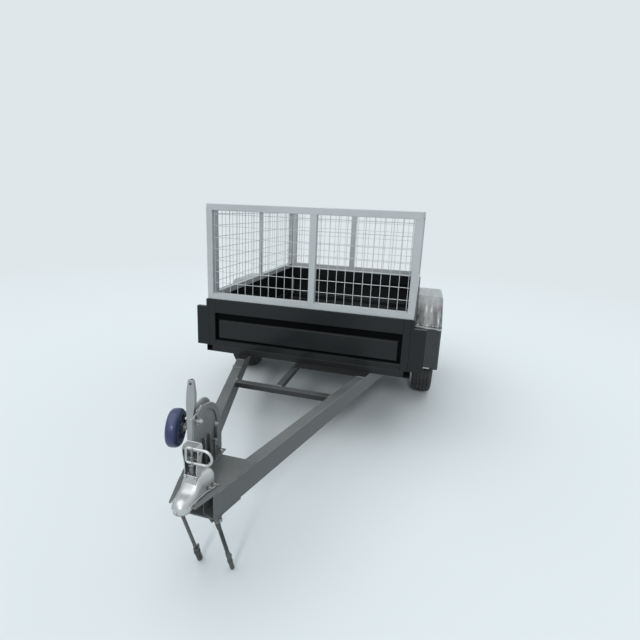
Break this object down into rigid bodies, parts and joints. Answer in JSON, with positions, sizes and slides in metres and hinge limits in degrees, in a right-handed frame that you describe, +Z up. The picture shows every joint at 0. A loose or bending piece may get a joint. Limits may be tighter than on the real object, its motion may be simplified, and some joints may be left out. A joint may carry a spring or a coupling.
{
  "type": "utility trailer",
  "caption": "Single-axle box utility trailer with a mesh cage, drop tailgate, swinging cage gate, A-frame drawbar, ball coupling, hand brake lever and stowed jockey wheel.",
  "frame": {"origin": "on the ground under the middle of the bounding box", "axes": "+Y towards the tailgate, away from the coupling, +X to the right seen from the coupling, +Z up"},
  "size_m": [1.64, 2.911, 1.372],
  "materials": {
    "painted_black": "satin black paint",
    "painted_grey": "mid grey satin paint on the drawbar",
    "cage_silver": "light grey paint on the mesh cage",
    "zinc": "bright zinc plate",
    "steel_dark": "black paint on axle and springs",
    "wheel_silver": "silver paint",
    "tyre": "black rubber",
    "blue_plastic": "moulded blue plastic",
    "guard_film": "black paint under clear film",
    "lamp_red": "red moulded lens"
  },
  "bodies": {
    "root": {"floor_plate": "painted_black", "front_wall": "painted_black", "left_wall": "painted_black", "right_wall": "painted_black", "front_post_left": "painted_black", "front_post_right": "painted_black", "rear_post_left": "painted_black", "rear_post_right": "painted_black", "cross_members": "painted_black", "side_rail_left": "painted_black", "side_rail_right": "painted_black", "drawbar_rail_left": "painted_grey", "drawbar_rail_right": "painted_grey", "drawbar_brace": "painted_grey", "drawbar_spine": "painted_grey", "tongue_plate": "painted_grey", "lug_plate": "painted_grey", "rail_gussets": "painted_black", "coupling_body": "zinc", "coupling_latch": "zinc", "coupling_handle": "zinc", "brake_bracket": "zinc", "brake_lever": "zinc", "jockey_clamp": "zinc", "axle": "steel_dark", "leaf_spring_left": "steel_dark", "leaf_spring_right": "steel_dark", "spring_hangers": "steel_dark", "mudguard_left": "guard_film", "mudguard_right": "guard_film", "cage_front": "cage_silver", "cage_left": "cage_silver", "cage_right": "cage_silver", "gate_hinge_posts": "cage_silver", "tailgate_hinge_posts": "painted_black", "tail_lamps": "lamp_red"},
    "wheel_left": {"wheel_disc_left": "wheel_silver", "tyre_left": "tyre"},
    "wheel_right": {"wheel_disc_right": "wheel_silver", "tyre_right": "tyre"},
    "tailgate": {"tailgate": "painted_black", "tailgate_hinge_leaves": "painted_black"},
    "cage_gate": {"cage_gate": "cage_silver", "gate_hinge_leaves": "cage_silver"},
    "jockey_leg": {"jockey_leg": "zinc"},
    "jockey_inner": {"jockey_inner": "zinc"},
    "jockey_wheel": {"jockey_wheel": "blue_plastic"},
    "parking_leg_left": {"parking_leg_left": "zinc"},
    "parking_leg_right": {"parking_leg_right": "zinc"}
  },
  "joints": [
    {"name": "wheel_left_spin", "type": "hinge", "parent": "root", "child": "wheel_left", "pos_m": [-0.7255, 0.7425, 0.292], "axis": [1, 0, 0], "continuous": true},
    {"name": "wheel_right_spin", "type": "hinge", "parent": "root", "child": "wheel_right", "pos_m": [0.7255, 0.7425, 0.292], "axis": [1, 0, 0], "continuous": true},
    {"name": "tailgate_drop", "type": "hinge", "parent": "root", "child": "tailgate", "pos_m": [0, 1.4465, 0.4825], "axis": [-1, 0, 0], "range_deg": [0, 180]},
    {"name": "cage_gate_swing", "type": "hinge", "parent": "root", "child": "cage_gate", "pos_m": [-0.5965, 1.4385, 0.784], "axis": [0, 0, 1], "range_deg": [0, 180]},
    {"name": "jockey_swing", "type": "hinge", "parent": "root", "child": "jockey_leg", "pos_m": [-0.20182, -1.04451, 0.525], "axis": [0.9603, 0.2791, 0], "range_deg": [0, 105]},
    {"name": "jockey_wind", "type": "slide", "parent": "jockey_leg", "child": "jockey_inner", "axis": [0.2696, -0.9275, 0.2588], "range_m": [0, 0.236]},
    {"name": "jockey_wheel_spin", "type": "hinge", "parent": "jockey_inner", "child": "jockey_wheel", "pos_m": [-0.14791, -1.23002, 0.57676], "axis": [0.9603, 0.2791, 0], "continuous": true},
    {"name": "parking_leg_left_fold", "type": "hinge", "parent": "root", "child": "parking_leg_left", "pos_m": [-0.08, -1.3235, 0.324], "axis": [1, 0, 0], "range_deg": [0, 60]},
    {"name": "parking_leg_right_fold", "type": "hinge", "parent": "root", "child": "parking_leg_right", "pos_m": [0.06, -1.3235, 0.324], "axis": [1, 0, 0], "range_deg": [0, 60]}
  ]
}
